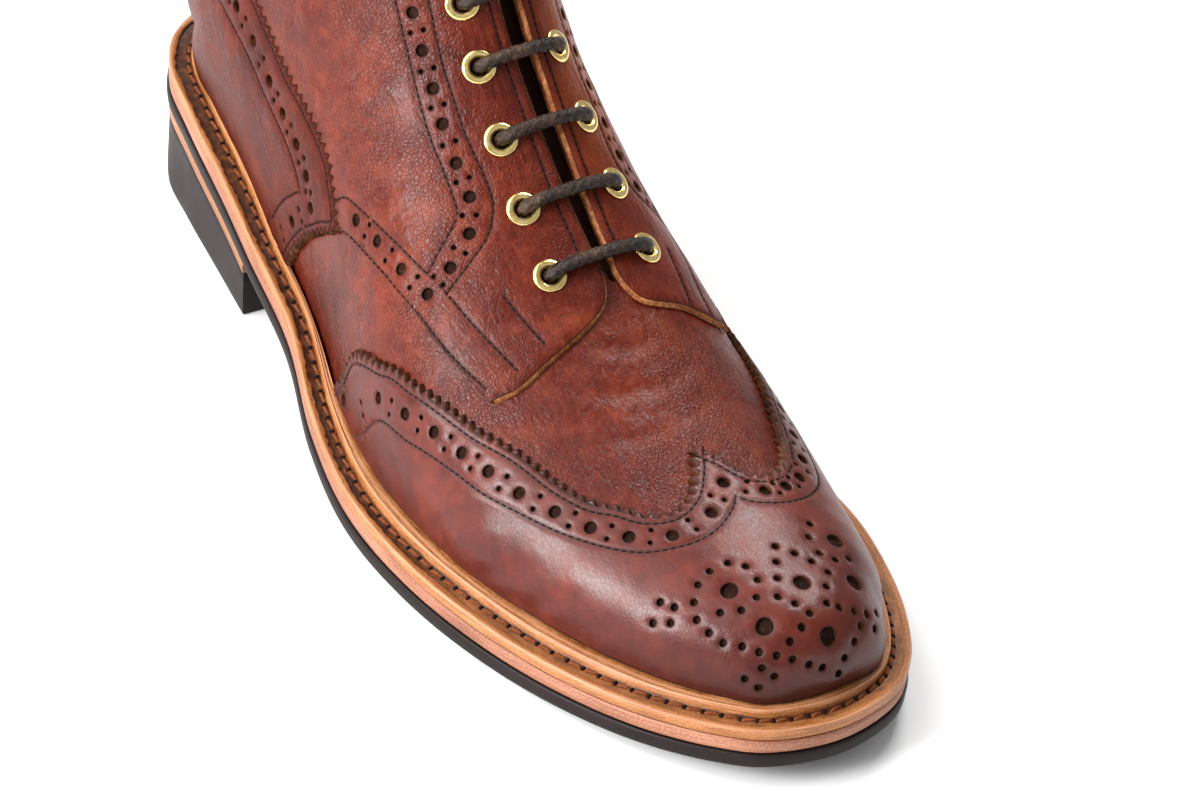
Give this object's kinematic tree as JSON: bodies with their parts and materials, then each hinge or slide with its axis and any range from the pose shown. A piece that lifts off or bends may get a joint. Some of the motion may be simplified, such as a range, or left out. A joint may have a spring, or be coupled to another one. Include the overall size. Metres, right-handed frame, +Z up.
{
  "type": "lace-up ankle boot",
  "caption": "Right-foot brogue ankle boot with wing cap, pierced bands, brass eyelets, storm welt, leather midsole, rubber sole and low heel.",
  "frame": {"origin": "centre of the sole's bounding rectangle on the floor, with the boot standing on heel and forefoot", "axes": "+Z up, toe toward -Y, wearer's right (the outer side) toward -X"},
  "size_m": [0.1148, 0.311, 0.1818],
  "materials": {
    "upper_leather": "red-brown grained leather, waxed satin",
    "welt_leather": "tan storm welt, waxed edge",
    "edge_leather": "pale tan cut edge, satin",
    "lining_leather": "natural leather, matte",
    "sole_rubber": "dark rubber, satin",
    "eyelet_brass": "polished brass",
    "lace_cord": "dark brown waxed round lace"
  },
  "bodies": {
    "root": {"outsole": "sole_rubber", "midsole": "edge_leather", "heel_lift": "edge_leather", "heel_top_piece": "sole_rubber", "welt": "welt_leather", "insole": "lining_leather", "upper": "upper_leather", "tongue": "upper_leather", "wing_cap": "upper_leather", "quarter_outer": "upper_leather", "quarter_inner": "upper_leather", "heel_counter": "upper_leather", "eyelet_outer_1": "eyelet_brass", "eyelet_inner_1": "eyelet_brass", "eyelet_outer_2": "eyelet_brass", "eyelet_inner_2": "eyelet_brass", "eyelet_outer_3": "eyelet_brass", "eyelet_inner_3": "eyelet_brass", "eyelet_outer_4": "eyelet_brass", "eyelet_inner_4": "eyelet_brass", "eyelet_outer_5": "eyelet_brass", "eyelet_inner_5": "eyelet_brass", "eyelet_outer_6": "eyelet_brass", "eyelet_inner_6": "eyelet_brass", "eyelet_outer_7": "eyelet_brass", "eyelet_inner_7": "eyelet_brass", "lace_bar_1": "lace_cord", "lace_bar_2": "lace_cord", "lace_bar_3": "lace_cord", "lace_bar_4": "lace_cord", "lace_bar_5": "lace_cord", "lace_bar_6": "lace_cord", "lace_bar_7": "lace_cord"}
  },
  "joints": []
}
